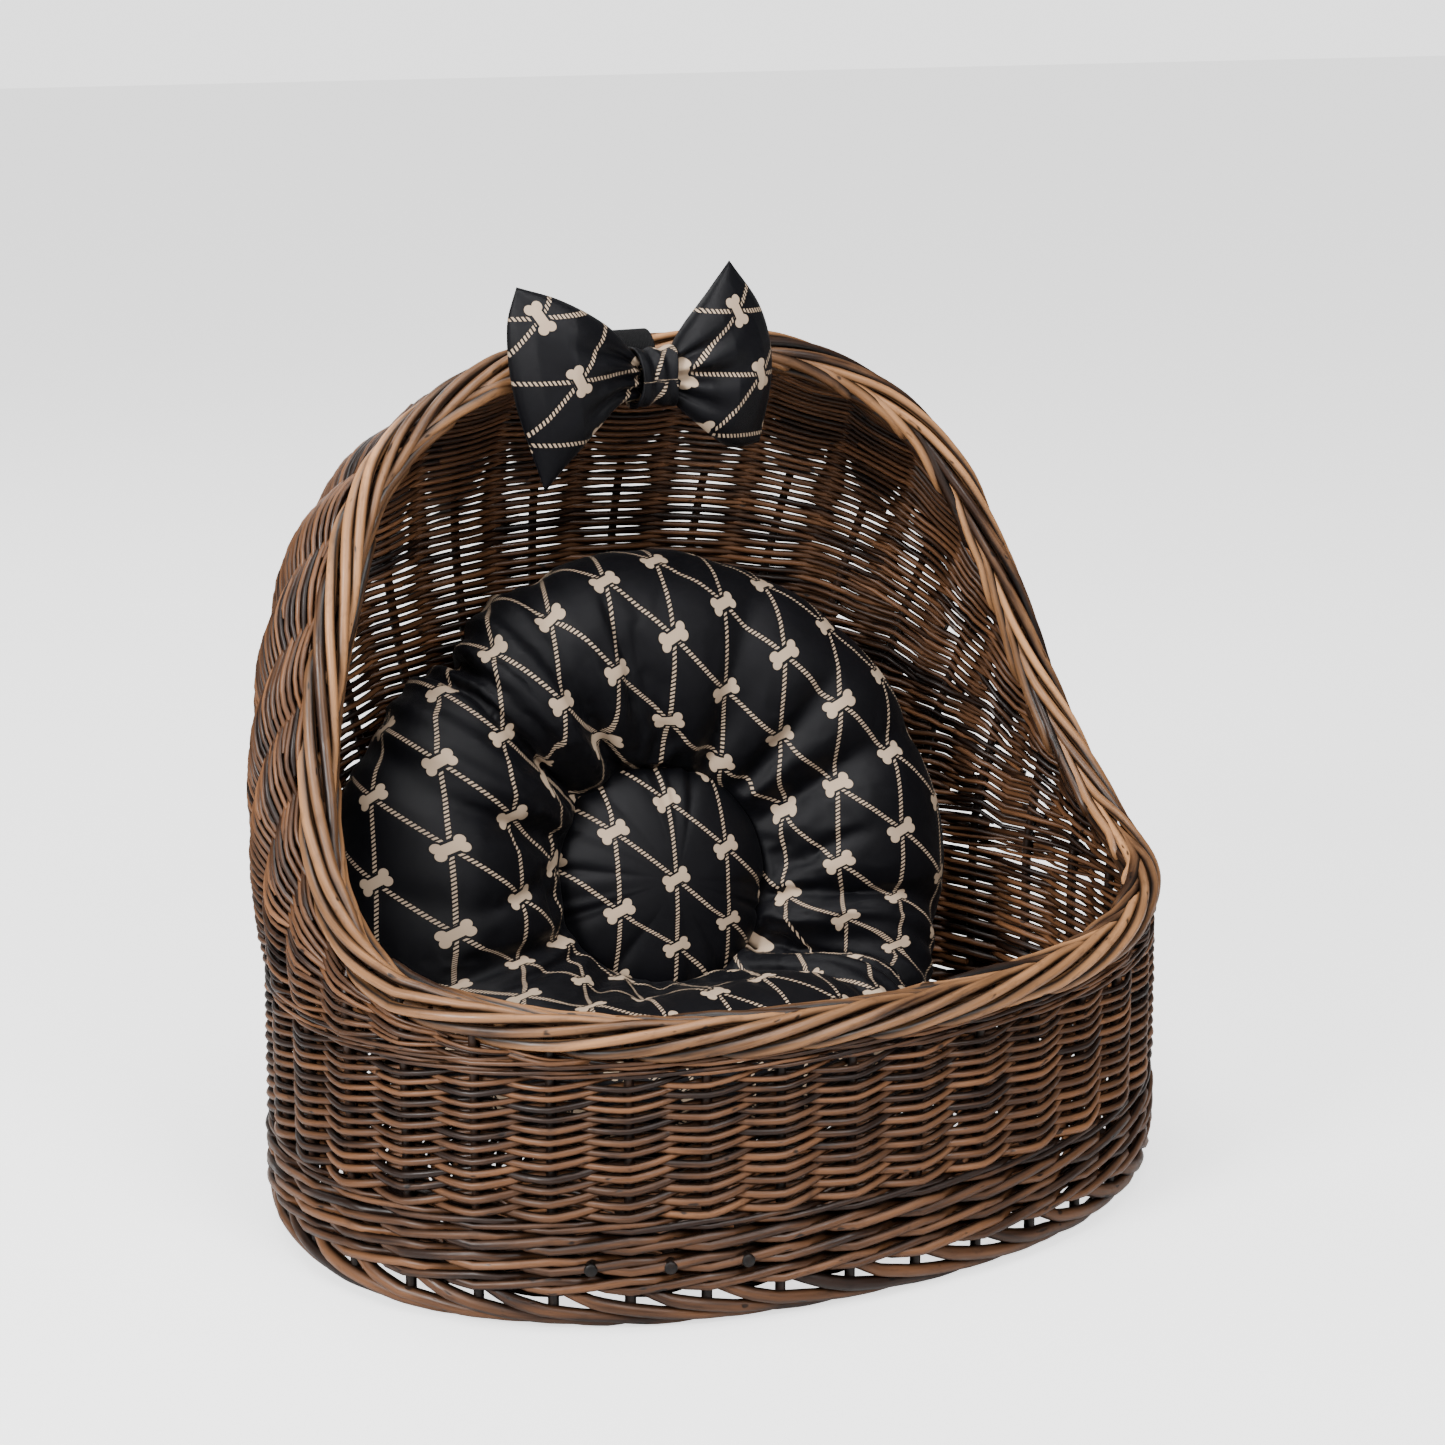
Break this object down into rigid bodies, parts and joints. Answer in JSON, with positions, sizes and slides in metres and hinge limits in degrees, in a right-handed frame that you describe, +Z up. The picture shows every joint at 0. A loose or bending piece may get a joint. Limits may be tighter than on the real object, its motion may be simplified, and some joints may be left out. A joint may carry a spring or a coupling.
{
  "type": "hooded wicker pet bed",
  "caption": "Hooded willow pet bed on an oval base with a low front, a loose ring cushion standing inside and a fabric bow on the hood.",
  "frame": {"origin": "on the floor under the middle of the part's own box", "axes": "+Z up, the low open front towards -Y, +X to the right as seen from the front"},
  "size_m": [0.6208, 0.4851, 0.6099],
  "materials": {
    "dark_willow": "dark brown stained willow rods, lightly varnished",
    "border_willow": "brown stained willow rods, lighter where worn, lightly varnished",
    "printed_cloth": "smooth woven cloth, near black, printed with a beige rope lattice and bones",
    "wadding": "soft polyester filling",
    "elastic": "flat black woven elastic"
  },
  "bodies": {
    "basket": {"base_long_sticks": "dark_willow", "base_short_sticks": "dark_willow", "base_weave": "dark_willow", "foot_border": "border_willow", "foot_stakes": "dark_willow", "bottom_wale": "dark_willow", "front_stakes": "dark_willow", "hood_stakes": "dark_willow", "side_weave": "dark_willow", "shoulder_wale": "border_willow", "hood_weave": "dark_willow", "rim_border": "border_willow"},
    "cushion": {"ring_cover": "printed_cloth", "ring_filling": "wadding", "pad_cover": "printed_cloth", "pad_filling": "wadding"},
    "bow": {"bow_loop_left": "printed_cloth", "bow_loop_right": "printed_cloth", "bow_filling_left": "wadding", "bow_filling_right": "wadding", "bow_knot": "printed_cloth", "bow_strap": "elastic"}
  },
  "joints": [
    {"name": "cushion_lift", "type": "slide", "parent": "basket", "child": "cushion", "axis": [0, -0.7071, 0.7071], "range_m": [0, 0.55]},
    {"name": "bow_swing", "type": "hinge", "parent": "basket", "child": "bow", "pos_m": [-0.01, 0.1105, 0.548], "axis": [-1, 0, 0], "range_deg": [0, 40]}
  ]
}
